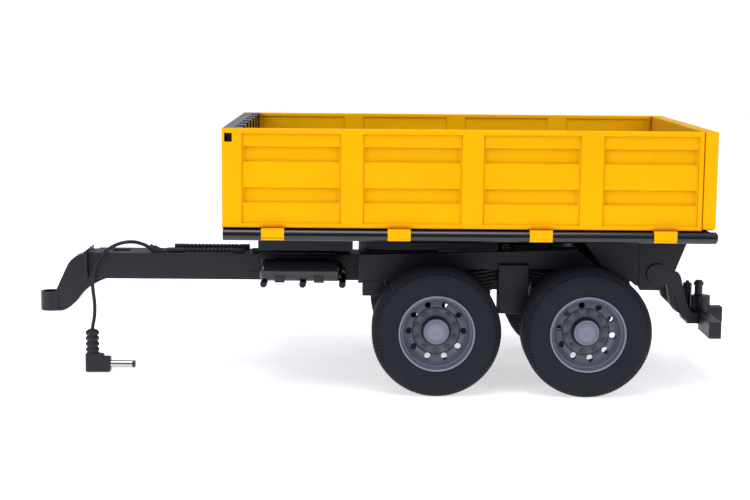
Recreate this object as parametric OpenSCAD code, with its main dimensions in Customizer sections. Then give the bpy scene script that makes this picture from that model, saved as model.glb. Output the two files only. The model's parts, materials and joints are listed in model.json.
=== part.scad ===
// Tandem-axle tipping trailer for a scale-model truck.
// Lengths are millimetres. The front (drawbar) is at -X, the left side is at -Y, and the tyres stand on z = 0.

/* [Cargo box] */
// Length of the box from the front of the side panels to the back of the tailgate
box_l = 216; // [210:1:220]
// Width of the box over the side panels
box_w = 135; // [133:0.5:137]
// Height of the side panels and tailgate
side_h = 43.4; // [40:0.1:46]
// Thickness of the side panels at their posts
panel_t = 3.5; // [3.2:0.1:3.8]
// Thickness of the tailgate
tailgate_t = 5.9; // [5.5:0.1:6]
// Thickness of the front wall, with its ribs
front_wall_t = 8.5; // [8:0.1:10]
// Radius of the tubes that the panels hinge on
tube_r = 2.6; // [2.2:0.05:2.6]

/* [Wheels] */
// Radius of the tyres
tyre_r = 29; // [28:0.5:29]
// Width of the tyres
tyre_w = 22.4; // [21:0.2:22.6]
// Distance between the middles of the left and right tyres
track = 102.4; // [102.2:0.2:103]
// Radius of the rim's outer lip
rim_r = 17.2; // [16:0.2:18]
// Number of hand holes, and of wheel nuts
wheel_nuts = 10; // [6:1:12]
// Radius of the axle rods
axle_r = 1.75; // [1.5:0.05:2]

/* [Drawbar] */
// Width of the drawbar beam
beam_w = 19; // [17:0.5:20]
// Height of the drawbar beam
beam_h = 12.4; // [11:0.2:13]
// Radius of the towing eye's hole
eye_bore_r = 4; // [3:0.1:4.2]
// Outer radius of the towing eye
eye_r = 5.2; // [5:0.1:5.6]
// Height of the towing eye
eye_h = 9; // [8:0.5:10]

/* [Power lead] */
// Diameter of the lead
cord_d = 1.7; // [1.5:0.1:2]
// Radius of the plug's metal sleeve
sleeve_r = 1.75; // [1.7:0.05:1.8]

/* [Hidden] */
$fn = 48;

// Lengthways places are measured from the front of the cargo box, which is this far ahead of the origin.
box_front = 71;

yellow = [0.98, 0.72, 0.02];
gloss_black = [0.08, 0.08, 0.1];
satin_black = [0.15, 0.16, 0.2];
rubber_black = [0.12, 0.12, 0.14];
rim_grey = [0.45, 0.46, 0.5];
steel = [0.7, 0.7, 0.72];

running_gap = 0.05;
seam = 0.2;

// Cargo box
sill_z = 76.6;
rim_z = sill_z + side_h;
floor_z = [75.5, 78];
panel_l = box_l - tailgate_t - seam;
half_w = box_w / 2;
inside_y = half_w - panel_t;
tube_y = half_w - 0.8;
tube_z = 73.5;
rod_x = box_l - 2.2;
rail_span = [21, 25];
web_y = 57;
clip_r = 3.1;
clip_gap = 0.08;
clip_x = [17.2, 72.4, 134.4, 188.8];
clip_w = 10;
clip_drop = 2.1;
rod_r = 2.25;
post_x = [[0, 8.5], [52, 61.3], [104.7, 113.7], [156.4, 166], [208, panel_l]];
band_z = [78.4, 87.4, 94.4, 105.3, 112.3, 117.9];
groove_depth = 1.3;
band_depth = 0.5;

// Tipping
pivot_x = 196;
pivot_z = 53.4;
pivot_r = 2.5;
bracket_y = [37.3, 39.4];
arm_x = 129.5;
roller_x = 63;
roller_r = 1.9;
arm_z = 61.2;

// Chassis
axle_x = [94.8, 162.2];
axle_z = tyre_r;
rail_y = [13, 17];
rail_z = [46.5, 58.5];
plate_y = [34, 37];
spring_y = [29.4, 33.9];
hanger_x = [123.7, 137.5];
beam_x = [-66, 59.5];
beam_top = 57;
beam_y = beam_w / 2;
tank_y = 24;
tank_z = 51.7;
tank_r = 5.25;
eye_x = eye_r - 93;
pin_x = 223.8;
arm_end_x = 221.4;
arm_y = [9.5, 13];
cross_x = [arm_end_x, 227];
cross_z = [25, 29.8];
pin_r = 1.9;

// Power lead: its middle line from the gland to the plug, in the part's own frame
cord_route = [
    [-111, -5, 59.5], [-114, -5.3, 61.2], [-118, -6.3, 62.5], [-122, -7.6, 62.6], [-126, -9, 61.6],
    [-129.5, -10.3, 59.7], [-132.3, -11.3, 57], [-134.5, -12, 53.8], [-136, -12.4, 50],
    [-136.9, -12.5, 46], [-137.1, -12.4, 42], [-136.8, -12.2, 38], [-136.4, -12, 34],
    [-136.3, -12, 30], [-136.6, -12, 26], [-137.2, -12, 23], [-137.6, -12, 20.5]
];
cord_sides = 8;
plug_x = -137.6;
plug_y = -12;
plug_top = 20.5;
sleeve_z = 3.9;

// Helpers
module placed() translate([-box_front, 0, 0]) children();
module both_sides() { children(); mirror([0, 1, 0]) children(); }
module block(x, y, z) translate([x[0], y[0], z[0]]) cube([x[1] - x[0], y[1] - y[0], z[1] - z[0]]);
module side_view(points, y)
    translate([0, y[1], 0]) rotate([90, 0, 0]) linear_extrude(y[1] - y[0]) polygon(points);
module rod_along_x(y, z, r, x)
    translate([x[0], y, z]) rotate([0, 90, 0]) cylinder(r = r, h = x[1] - x[0]);
module rod_along_y(x, z, r, y)
    translate([x, y[1], z]) rotate([90, 0, 0]) cylinder(r = r, h = y[1] - y[0]);

// Drawbar
module drawbar_beam() color(satin_black) placed() difference() {
    block(beam_x, [-beam_y, beam_y], [beam_top - beam_h, beam_top]);
    block([beam_x[0] + 10, beam_x[1] - 4], [1.8 - beam_y, beam_y - 1.8],
          [beam_top - beam_h - 1, beam_top - 1.8]);
    block([-58, -50], [-3, 5], [beam_top - 3, beam_top + 1]);
}
module drawbar_end_plate() color(satin_black) placed() {
    difference() {
        block([-70.7, -68.8], [-10, 10], [44, 58.3]);
        translate([-70.7, -11, 57.1]) rotate([0, -40, 0]) cube([4, 22, 4]);
    }
    block([-68.8, beam_x[0]], [-7.2, 7.2], [44, 56.8]);
}
module drawbar_eye() color(satin_black) placed() difference() {
    union() {
        side_view([[-70.7, 44], [-70.7, 55.25], [-72.9, 55.15], [-75.5, 54.3], [-77.7, 52.5], [-79.2, 50.3],
                   [-81.25, 45.9], [-83.1, 41.9], [-84.6, 38.6], [-85, 37], [-87, 37], [-87, 28], [-82, 28.2],
                   [-80, 28.9], [-77.6, 30.5], [-75.4, 32.5], [-72.3, 36.7], [-68.8, 39.8], [-66.4, 41.3],
                   [-63.5, 42.9], [-60, 44.2], [-57, 44.6], [-66, 44.6], [-66, 44]], [-5.2, 5.2]);
        translate([eye_x, 0, 28]) cylinder(r = eye_r, h = eye_h);
    }
    translate([eye_x, 0, 27]) cylinder(r = eye_bore_r, h = eye_h + 2);
    both_sides() block([-83.9, -81.8], [4.6, 6], [29, 35.4]);
}

// Hoses on the drawbar: plain ends on low feet, and rings along the middle
module hose(x, ribs, y) {
    rib_pitch = 1.9;
    rib_count = floor((ribs[1] - ribs[0]) / rib_pitch);
    rod_along_x(y, 1.3, 1.05, x);
    for (i = [0 : rib_count - 1]) let (x0 = ribs[0] + i * rib_pitch)
        rod_along_x(y, 1.3, 1.3, [x0, x0 + 1.2]);
    for (end = [[x[0], ribs[0] - 0.6], [ribs[1] + 0.4, x[1]]]) block(end, [y - 0.9, y + 0.9], [0, 1.2]);
}
module on_beam() placed() translate([0, 0, beam_top]) children();
module brake_hose_front() color(rubber_black) on_beam() hose([-31.4, 5.6], [-22.9, -0.5], -7);
module brake_hose_rear() color(rubber_black) on_beam() hose([9, 55.6], [12.8, 48.4], -7);
module supply_hose() color(rubber_black) on_beam() hose([-29.3, 7], [-22, 2.2], 7);

// Air tanks beside the drawbar
module air_tanks() color(gloss_black) placed() both_sides() {
    rod_along_x(tank_y, tank_z, tank_r, [15, 50.4]);
    for (end = [13.6, 50.4]) rod_along_x(tank_y, tank_z, tank_r - 0.9, [end, end + 1.4]);
    rod_along_x(tank_y, tank_z, 1.6, [51.8, 53.4]);
}
module tank_straps() color(satin_black) placed() both_sides()
    for (x = [20.9, 39.1]) difference() {
        union() {
            rod_along_x(tank_y, tank_z, tank_r + 0.4, [x, x + 4.6]);
            block([x, x + 4.6], [tank_y - 5.5, tank_y + 5.5], [46.4, 50]);
        }
        rod_along_x(tank_y, tank_z, tank_r, [x - 1, x + 6]);
        block([x - 1, x + 6], [tank_y - 7, tank_y + 7], [40, 46.4]);
        block([x - 1, x + 6], [tank_y - 2.4, tank_y + 2.4], [40, 48]);
    }
module tank_shelves() color(satin_black) placed() both_sides() {
    block([14, 53.6], [beam_y, 18.2], [45.6, 46.8]);
    block([7.5, 14], [beam_y, beam_y + 0.6], [44.9, 48.7]);
    for (x = [15.65, 33.8, 52.2]) difference() {
        rod_along_y(x, 45.3, 1.6, [beam_y, tank_y + 3.5]);
        block([x - 2, x + 2], [18.2, tank_y + 4], [46.3, 48]);
    }
}

// Chassis frame
module frame_rails() color(satin_black) placed() both_sides() difference() {
    union() {
        block([64, pivot_x], rail_y, rail_z);
        rod_along_y(pivot_x, pivot_z, 6.2, rail_y);
    }
    rod_along_y(pivot_x, pivot_z, pivot_r, [10, 20]);
}
module frame_crossmembers() color(satin_black) placed() {
    block([beam_x[1], 64], [-29.3, 29.3], rail_z);
    both_sides() block([beam_x[1], 64], [29.3, plate_y[0]], [50, rail_z[1]]);
    both_sides() for (x = [[90, 98], [124, 134], [156, 165]]) block(x, [rail_y[1], plate_y[0]], [55, 58.5]);
    both_sides() block([186.5, 191.5], [rail_y[1], 29.4], [50, 56]);
    block([168, 174], [-rail_y[0], rail_y[0]], [48, 57]);
}
module side_plate() side_view(
    [[60, 48.8], [76, 48.8], [84, 54], [168.5, 55.1], [168.5, 56.2], [159.6, 64.2], [151, 63.6],
     [60, 61]], plate_y);
module side_plate_left() color(satin_black) placed() mirror([0, 1, 0]) side_plate();
module side_plate_right() color(satin_black) placed() side_plate();

// Leaf springs: arcs that hang between the brackets and the hanger, clamped over each axle
module spring_pack(x, from_x, to_x) {
    leaves = 7;
    leaf_t = 1.25;
    leaf_pitch = 1.7;
    arc_r = 130;
    top_z = 51.6;
    arc_z = top_z + arc_r;
    for (i = [0 : leaves - 1]) let (r = arc_r + i * leaf_pitch, cut = i * 0.5) intersection() {
        difference() {
            rod_along_y(x, arc_z, r + leaf_t, spring_y);
            rod_along_y(x, arc_z, r, [20, 40]);
        }
        block([from_x + cut, to_x - cut], spring_y, [35, 54.5]);
    }
    block([x - 5, x + 5], spring_y, [axle_z + 3.6, top_z - 0.4]);
}
module leaf_springs() color(satin_black) placed() both_sides() {
    spring_pack(axle_x[0], 70.2, hanger_x[0]);
    spring_pack(axle_x[1], hanger_x[1], 186.4);
}
module spring_hangers() color(satin_black) placed() both_sides() {
    block(hanger_x, [plate_y[1], 39.5], [34.4, 57]);
    block(hanger_x, [spring_y[0], plate_y[1]], [34.4, 54.5]);
}
module spring_brackets() color(satin_black) placed() both_sides() {
    block([61.5, 70.1], [29.4, 36.9], [41.8, 48.8]);
    block([64, 70.1], [29.4, plate_y[0]], [48.8, 54.5]);
    block([186.5, 191.5], [29.4, 36.6], [47.5, 54.5]);
}
module axle_beams() color(satin_black) placed() for (x = axle_x) difference() {
    block([x - 3.6, x + 3.6], [-39.9, 39.9], [axle_z - 3.6, axle_z + 3.6]);
    rod_along_y(x, axle_z, axle_r, [-41, 41]);
}
module axle_rods() color(steel) placed() for (x = axle_x)
    rod_along_y(x, axle_z, axle_r, [-track / 2 - 1.7, track / 2 + 1.7]);

// Lift drive
module gearbox_case() color(satin_black) placed() {
    block([98, 124], [-10.5, 10.5], [44, 57.2]);
    block([104, 110], [-rail_y[0], rail_y[0]], [46.5, 49.5]);
}
module lift_motor() color(steel) placed() {
    rod_along_x(0, 51, 5.6, [74, 98]);
    rod_along_x(0, 51, 2.4, [72, 74]);
}
module gearbox_screws() color(steel) placed()
    for (x = [100.5, 121.5], y = [-8, 8]) translate([x, y, 43.2]) cylinder(r = 1.6, h = 0.8);
module lift_pedestals() color(satin_black) placed() both_sides() difference() {
    union() {
        block([arm_x - 4, arm_x + 4], [11.2, rail_y[0]], [50, arm_z]);
        rod_along_y(arm_x, arm_z, 4, [11.2, rail_y[0]]);
    }
    rod_along_y(arm_x, arm_z, 2 + running_gap, [10, 15]);
}
module lift_arm() color(rim_grey) placed() difference() {
    union() {
        side_view([[60.3, 59.4], [60.3, 62.8], [117, 62.9], [arm_x, 64.4], [arm_x, 58], [117, 59.8],
                   [84, 59.4]], [-8.6, 8.6]);
        rod_along_y(arm_x, arm_z, 3.5, [-10.8, 10.8]);
    }
    block([60, 66], [-6.3, 6.3], [58, 65]);
    block([84, 93], [-10, 10], [60.9, 62.2]);
    rod_along_y(roller_x, arm_z, 0.85, [-10, 10]);
    rod_along_y(arm_x, arm_z, 2, [-12, 12]);
}
module lift_shaft() color(steel) placed() rod_along_y(arm_x, arm_z, 2, [-13, 13]);
module lift_roller() color(steel) placed() {
    rod_along_y(roller_x, arm_z, roller_r, [-6, 6]);
    rod_along_y(roller_x, arm_z, 0.8, [-8.5, 8.5]);
}

// Rear coupling
module pivot_shaft() color(steel) placed()
    rod_along_y(pivot_x, pivot_z, pivot_r, [-bracket_y[1] + 0.4, bracket_y[1] - 0.4]);
module hitch_arms() color(satin_black) placed() both_sides() difference() {
    side_view([[192, 57], [203, 57], [209.8, 50.6], [211.5, 49.9], [212.3, 48.5], [212.8, 47], [213.4, 44.2],
               [214.2, 41.3], [215, 38.4], [215.8, 35.5], [216.6, 33.4], [217.6, 31.7], [219.3, 30.5],
               [arm_end_x, 29.8], [arm_end_x, 25.7], [219.5, 25.9], [217.5, 26.4], [215.6, 27.2], [213.8, 28.6],
               [212.2, 30.7], [209.7, 33.1], [207.7, 35], [207.1, 37.4], [206.5, 40.7], [206, 44.1],
               [200, 45.5], [192, 47]], arm_y);
    side_view([[209.2, 40.5], [210.3, 37.4], [211.4, 34.5], [212.4, 30.9], [211.2, 32.4], [209.9, 35.6]],
              [arm_y[1] - 1, arm_y[1] + 1]);
    rod_along_y(pivot_x, pivot_z, pivot_r, [8, 14]);
}
module hitch_crossbar() color(satin_black) placed() difference() {
    union() {
        block(cross_x, [-arm_y[1], arm_y[1]], cross_z);
        both_sides() block(cross_x, [arm_y[1], 37.6], [23, 30.7]);
    }
    translate([pin_x, 0, 15]) cylinder(r = pin_r + 0.4, h = 20);
}
module hitch_head() color(satin_black) placed() difference() {
    union() {
        translate([225, 0, cross_z[1]]) cylinder(r = 4.5, h = 7.4);
        block([216.8, arm_end_x], [-arm_y[0], arm_y[0]], cross_z);
        block([cross_x[1], 235], [-3.2, 3.2], [24.6, 32]);
    }
    translate([pin_x, 0, 23]) cylinder(r = pin_r + running_gap, h = 20);
}
module hitch_pin() color(satin_black) placed() translate([pin_x, 0, 0]) {
    translate([0, 0, 24.8]) cylinder(r = pin_r, h = 17.4);
    translate([0, 0, 42.2]) cylinder(r = 2.35, h = 1.6);
    translate([0, 0, 43.8]) cylinder(r = 1.7, h = 0.8);
}
module hitch_post() color(satin_black) placed() translate([219.7, 6.6, cross_z[1]]) {
    cylinder(r = 2.15, h = 12.5);
    cylinder(r = 0.9, h = 13.6);
}

// Power lead
function unit(v) = v / norm(v);
function lerp_at(points, i, t) = let (
    n = len(points), p0 = points[max(i - 1, 0)], p1 = points[i], p2 = points[min(i + 1, n - 1)],
    p3 = points[min(i + 2, n - 1)])
    0.5 * (2 * p1 + t * (p2 - p0) + t * t * (2 * p0 - 5 * p1 + 4 * p2 - p3)
           + t * t * t * (3 * p1 - p0 - 3 * p2 + p3));
function smooth_line(points) = [
    for (i = [0 : len(points) - 2], t = [0, 0.5]) lerp_at(points, i, t), points[len(points) - 1]];
function heading(line, i) = unit(line[min(i + 1, len(line) - 1)] - line[max(i - 1, 0)]);
function ring(centre, along, r, sides) = let (
    across = unit(cross(along, [0, 1, 0])), up = cross(across, along))
    [for (k = [0 : sides - 1]) centre + r * (cos(360 * k / sides) * across + sin(360 * k / sides) * up)];
module swept_tube(points, r, sides) {
    line = smooth_line(points);
    last = len(line) - 1;
    straight_up = [0, 0, -1];
    rings = [for (i = [0 : last]) each ring(line[i], i == last ? straight_up : heading(line, i), r, sides)];
    walls = [for (i = [0 : last - 1], k = [0 : sides - 1])
        let (a = i * sides, b = a + sides, n = (k + 1) % sides)
        each [[a + k, a + n, b + n], [a + k, b + n, b + k]]];
    caps = [[for (k = [sides - 1 : -1 : 0]) k], [for (k = [0 : sides - 1]) last * sides + k]];
    polyhedron(points = rings, faces = concat(walls, caps));
}
module cord_gland() color(rubber_black) difference() {
    union() {
        translate([-111, -5, 59.5]) rotate([0, 119, 0]) {
            cylinder(r = 1.5, h = 7);
            translate([0, 0, 2]) cylinder(r = 2, h = 5);
        }
        block([-109.5, -103], [-7.6, -2.4], [beam_top, beam_top + 0.9]);
    }
    block([-120, -95], [-12, 4], [beam_top - 6, beam_top]);
}
module power_cord() color(rubber_black) swept_tube(cord_route, cord_d / 2, cord_sides);
module plug_body() color(rubber_black) translate([plug_x, plug_y, 0]) difference() {
    union() {
        translate([0, 0, 9]) cylinder(r = 2.7, h = plug_top - 9);
        for (z = [10.2, 12.9, 15.6, 18.3]) translate([0, 0, z]) cylinder(r = 3.25, h = 1.7);
        block([-3.2, 3.2], [-3.2, 3.2], [0.3, 9.6]);
        block([3, 5.2], [-2.9, 2.9], [0.3, 9]);
        block([3, 8.6], [-2.9, 2.9], [0.3, 7.6]);
    }
    block([-3.3, -2], [-4, 4], [0.2, 1]);
}
module plug_sleeve() color(steel) translate([plug_x + 8.6, plug_y, sleeve_z]) rotate([0, 90, 0])
    cylinder(r = sleeve_r, h = 10.4);
module plug_tip() color(gloss_black) translate([plug_x + 19, plug_y, sleeve_z]) rotate([0, 90, 0])
    cylinder(r = sleeve_r, h = 1.3);

// Tipping bed
module bed_floor() color(gloss_black) placed()
    block([front_wall_t + seam, panel_l - seam], [-inside_y + seam, inside_y - seam], floor_z);
module bed_rails() color(satin_black) placed() both_sides() {
    block([13, 57], rail_span, [60.8, floor_z[0]]);
    block([57, 205], rail_span, [66, floor_z[0]]);
}
module bed_crossmembers() color(satin_black) placed() {
    for (x = [12, 48, 84, 120, 152])
        both_sides() block([x, x + 4], [rail_span[1], web_y], [70.5, floor_z[0]]);
    both_sides() block([180, 205], [rail_span[1], bracket_y[0]], [66, floor_z[0]]);
    both_sides() block([180, 205], [7, rail_span[0]], [68, floor_z[0]]);
}
module roller_track() color(satin_black) placed()
    block([48, 116.8], [-5.8, 5.8], [arm_z + roller_r + 0.1, floor_z[0]]);
module front_wall() color(gloss_black) placed() {
    half = inside_y - seam;
    slab_t = front_wall_t - 3.6;
    slots = 6;
    slot_w = 10.2;
    bar_w = (2 * half - slots * slot_w) / (slots + 1);
    block([0, slab_t], [-half, half], [floor_z[1], rim_z]);
    block([0, front_wall_t], [-half, half], floor_z);
    for (i = [0 : slots]) let (y = -half + i * (bar_w + slot_w))
        block([slab_t, front_wall_t], [y, y + bar_w], [floor_z[1], rim_z]);
    both_sides() block([2.4, 4.05], [half, half + 3], [114.5, 117.5]);
}
module hinge_tubes() color(gloss_black) placed() both_sides() {
    rod_along_x(tube_y, tube_z, tube_r, [0.4, box_l + 0.3]);
    translate([box_l + 0.3, tube_y, tube_z]) rotate([0, 90, 0]) cylinder(r1 = tube_r, r2 = 1.7, h = 0.8);
    webs = [[2, clip_x[0] - 1], for (i = [0 : 2]) [clip_x[i] + clip_w + 1, clip_x[i + 1] - 1],
            [clip_x[3] + clip_w + 1, 208]];
    for (w = webs) block(w, [web_y, tube_y], [tube_z + 0.7, floor_z[0]]);
}
module tailgate_rod() color(gloss_black) placed() {
    rod_along_y(rod_x, tube_z, rod_r, [-60, 60]);
    for (y = [[-56.5, -45], [-29, -8], [8, 29], [45, 56.5]])
        block([205.2, rod_x], y, [tube_z + 0.7, floor_z[0]]);
}
module pivot_brackets() color(satin_black) placed() both_sides() difference() {
    side_view([[180, 75.4], [162.7, 67.4], [170.9, 56.4], [187, 48.3], [188.6, 45.8], [197.5, 45.7],
               [201.6, 49.6], [204.5, 54.5], [209.6, 67.7], [210.2, 69.9], [206, 75.4]], bracket_y);
    side_view([[207, 76], [205.7, 67], [203.8, 56.2], [201.5, 49.7], [200, 45], [215, 45], [215, 76]],
              [bracket_y[1] - 0.8, bracket_y[1] + 1]);
    block([187.3, 187.9], [bracket_y[1] - 0.5, bracket_y[1] + 1], [48, 70]);
    rod_along_y(pivot_x, pivot_z, pivot_r + running_gap, [30, 45]);
}
module pivot_caps() color(satin_black) placed() both_sides()
    rod_along_y(pivot_x, pivot_z, 4.8, [bracket_y[1], 40.6]);

// Drop sides and tailgate: posts and bands stand proud of grooves
module panel_windows(posts, outer_y) {
    for (i = [0 : len(posts) - 2]) let (x = [posts[i][1], posts[i + 1][0]]) {
        block(x, [outer_y - band_depth, outer_y + 1], [band_z[0], band_z[5]]);
        for (k = [1, 3]) block(x, [outer_y - groove_depth, outer_y + 1], [band_z[k], band_z[k + 1]]);
        block(x, [outer_y - panel_t - 1, outer_y - panel_t + 0.6], [band_z[0] + 1, band_z[5]]);
    }
}
module hinge_clip(length, bore) difference() {
    union() {
        cylinder(r = clip_r, h = length);
        translate([-1.6, 0, 0]) cube([1.6 + clip_r, sill_z - tube_z, length]);
    }
    translate([0, 0, -1]) cylinder(r = bore, h = length + 2);
    translate([-6, -6, -1]) cube([4.9, 7.4, length + 2]);
    translate([-6, -6, -1]) cube([12, 6 - clip_drop, length + 2]);
}
module side_panel() {
    difference() {
        block([0, panel_l], [inside_y, half_w], [sill_z, rim_z]);
        panel_windows(post_x, half_w);
        block([1.1, 4.4], [inside_y - 1, half_w + 1], [114.1, 117.9]);
    }
    for (x = clip_x) translate([x, tube_y, tube_z]) rotate([90, 0, 90])
        hinge_clip(clip_w, tube_r + clip_gap);
}
module side_panel_right() color(yellow) placed() side_panel();
module side_panel_left() color(yellow) placed() mirror([0, 1, 0]) side_panel();
module tailgate() color(yellow) placed() {
    gate_posts = [[0, 9], [40.5, 48], [87, 94.5], [box_w - 9, box_w]];
    difference() {
        block([box_l - tailgate_t, box_l], [-half_w, half_w], [sill_z, rim_z]);
        translate([box_l, -half_w, 0]) rotate([0, 0, 90]) mirror([0, 1, 0]) for (i = [0 : 2])
            let (x = [gate_posts[i][1], gate_posts[i + 1][0]]) {
                block(x, [-band_depth, 1], [band_z[0], band_z[5]]);
                for (k = [1, 3]) block(x, [-groove_depth, 1], [band_z[k], band_z[k + 1]]);
            }
        both_sides() block([box_l - 7, box_l + 1], [63.8, 68], [sill_z - 1, tube_z + 3.85]);
    }
    for (y = [-42, -5, 32]) translate([rod_x, y + clip_w, tube_z]) rotate([90, 0, 0])
        hinge_clip(clip_w, rod_r + clip_gap);
}

// Wheels
module wheel_place(axle, side) placed() translate([axle_x[axle], side * track / 2, axle_z])
    rotate([side < 0 ? 90 : -90, 0, 0]) children();
module tyre_shape() {
    f = tyre_w / 2;
    rotate_extrude($fn = 96) polygon([
        [rim_r, -f + 0.6], [rim_r, f - 0.6], [rim_r + 1, f], [tyre_r - 3.4, f], [tyre_r - 0.7, f - 2.2],
        [tyre_r, f - 3], [tyre_r, 5.2], [tyre_r - 1, 5], [tyre_r - 1, 3.8], [tyre_r, 3.6],
        [tyre_r, 0.8], [tyre_r - 1, 0.6], [tyre_r - 1, -0.6], [tyre_r, -0.8], [tyre_r, -3.6],
        [tyre_r - 1, -3.8], [tyre_r - 1, -5], [tyre_r, -5.2], [tyre_r, 3 - f], [tyre_r - 0.7, 2.2 - f],
        [tyre_r - 3.4, -f], [rim_r + 1, -f]]);
}
module rim_shape() {
    f = tyre_w / 2;
    disc = f - 9.4;
    nut_circle = 9;
    hole_circle = 12.2;
    difference() {
        union() {
            rotate_extrude($fn = 96) polygon([
                [0, disc], [14.8, disc], [15.6, disc + 1], [16.2, f], [rim_r, f], [rim_r, -f], [15.8, -f],
                [15.8, disc - 2.2], [4.6, disc - 2.2], [4.6, 0.4 - f], [0, 0.4 - f]]);
            cylinder(r = 10.3, h = disc + 0.6);
            for (i = [0 : wheel_nuts - 1]) rotate((i + 0.5) * 360 / wheel_nuts) translate([nut_circle, 0, disc])
                cylinder(r = 1.2, h = 2.1, $fn = 6);
        }
        translate([0, 0, -f - 1]) cylinder(r = axle_r + running_gap, h = f + 1 + disc);
        for (i = [0 : wheel_nuts - 1]) rotate(i * 360 / wheel_nuts) translate([hole_circle, 0, disc - 5])
            cylinder(r = 1.4, h = 9, $fn = 24);
    }
}
module hub_cap_shape() {
    base = tyre_w / 2 - 8.8;
    rotate_extrude() polygon([[0, base], [5.95, base], [5.95, base + 2.6], [5, base + 3.6], [4.6, base + 3.8],
                              [0, base + 3.8]]);
}
module tyre_front_left() color(rubber_black) wheel_place(0, -1) tyre_shape();
module tyre_front_right() color(rubber_black) wheel_place(0, 1) tyre_shape();
module tyre_rear_left() color(rubber_black) wheel_place(1, -1) tyre_shape();
module tyre_rear_right() color(rubber_black) wheel_place(1, 1) tyre_shape();
module rim_front_left() color(rim_grey) wheel_place(0, -1) rim_shape();
module rim_front_right() color(rim_grey) wheel_place(0, 1) rim_shape();
module rim_rear_left() color(rim_grey) wheel_place(1, -1) rim_shape();
module rim_rear_right() color(rim_grey) wheel_place(1, 1) rim_shape();
module hub_cap_front_left() color(rim_grey) wheel_place(0, -1) hub_cap_shape();
module hub_cap_front_right() color(rim_grey) wheel_place(0, 1) hub_cap_shape();
module hub_cap_rear_left() color(rim_grey) wheel_place(1, -1) hub_cap_shape();
module hub_cap_rear_right() color(rim_grey) wheel_place(1, 1) hub_cap_shape();

drawbar_beam();
drawbar_end_plate();
drawbar_eye();
brake_hose_front();
brake_hose_rear();
supply_hose();
air_tanks();
tank_straps();
tank_shelves();
frame_rails();
frame_crossmembers();
side_plate_left();
side_plate_right();
leaf_springs();
spring_hangers();
spring_brackets();
axle_beams();
axle_rods();
gearbox_case();
lift_motor();
lift_pedestals();
gearbox_screws();
pivot_shaft();
hitch_arms();
hitch_crossbar();
hitch_head();
hitch_post();
cord_gland();
power_cord();
plug_body();
plug_sleeve();
plug_tip();
bed_floor();
bed_rails();
bed_crossmembers();
roller_track();
front_wall();
hinge_tubes();
tailgate_rod();
pivot_brackets();
pivot_caps();
side_panel_left();
side_panel_right();
tailgate();
lift_arm();
lift_shaft();
lift_roller();
hitch_pin();
tyre_front_left();
rim_front_left();
hub_cap_front_left();
tyre_front_right();
rim_front_right();
hub_cap_front_right();
tyre_rear_left();
rim_rear_left();
hub_cap_rear_left();
tyre_rear_right();
rim_rear_right();
hub_cap_rear_right();
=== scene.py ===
"""Looks of a tandem-axle tipping trailer for a scale-model truck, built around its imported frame."""
import json
import math

import bmesh
import bpy
import numpy as np
from bpy.props import FloatProperty, FloatVectorProperty, IntProperty, PointerProperty
from mathutils import Euler, Matrix, Vector

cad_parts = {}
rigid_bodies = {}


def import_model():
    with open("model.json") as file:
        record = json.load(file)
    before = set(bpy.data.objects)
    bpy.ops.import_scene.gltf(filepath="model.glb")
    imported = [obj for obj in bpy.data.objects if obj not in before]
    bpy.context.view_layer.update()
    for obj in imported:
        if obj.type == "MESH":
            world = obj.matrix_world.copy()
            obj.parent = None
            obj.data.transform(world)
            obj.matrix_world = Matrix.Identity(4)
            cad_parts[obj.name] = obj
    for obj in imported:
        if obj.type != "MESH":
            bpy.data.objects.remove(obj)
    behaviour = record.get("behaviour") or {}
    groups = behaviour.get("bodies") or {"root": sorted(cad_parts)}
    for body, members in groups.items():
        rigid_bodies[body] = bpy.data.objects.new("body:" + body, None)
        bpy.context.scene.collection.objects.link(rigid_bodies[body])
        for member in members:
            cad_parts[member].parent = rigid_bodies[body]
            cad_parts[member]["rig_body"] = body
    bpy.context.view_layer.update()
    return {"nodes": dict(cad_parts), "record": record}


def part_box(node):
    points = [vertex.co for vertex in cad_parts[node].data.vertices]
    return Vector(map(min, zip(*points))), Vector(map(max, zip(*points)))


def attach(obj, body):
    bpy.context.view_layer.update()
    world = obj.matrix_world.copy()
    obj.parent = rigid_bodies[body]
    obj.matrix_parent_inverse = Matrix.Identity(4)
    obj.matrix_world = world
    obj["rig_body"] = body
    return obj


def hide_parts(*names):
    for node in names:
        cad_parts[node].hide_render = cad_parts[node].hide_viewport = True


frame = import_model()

bl_info = {
    "name": "Tipping trailer model",
    "version": (1, 0, 0),
    "blender": (4, 5, 0),
    "location": "View3D > Sidebar > Trailer",
    "description": "Builds a scale-model tipping trailer around its packed frame",
    "category": "Add Mesh",
}

MM = 0.001
CAD_NODES = frame["nodes"]
BOX_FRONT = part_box("side_panel_left")[0].x
FLOOR_SIZE = 3.0
FLOOR_FRONT = 0.34
CAMERA_AT = (-10 * MM, -761.2 * MM, 162.5 * MM)
CAMERA_TURN = [math.radians(a) for a in (82.18, -0.515, -0.419)]
LENS = 76.8


# Sizes and colours that a user would change

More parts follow.
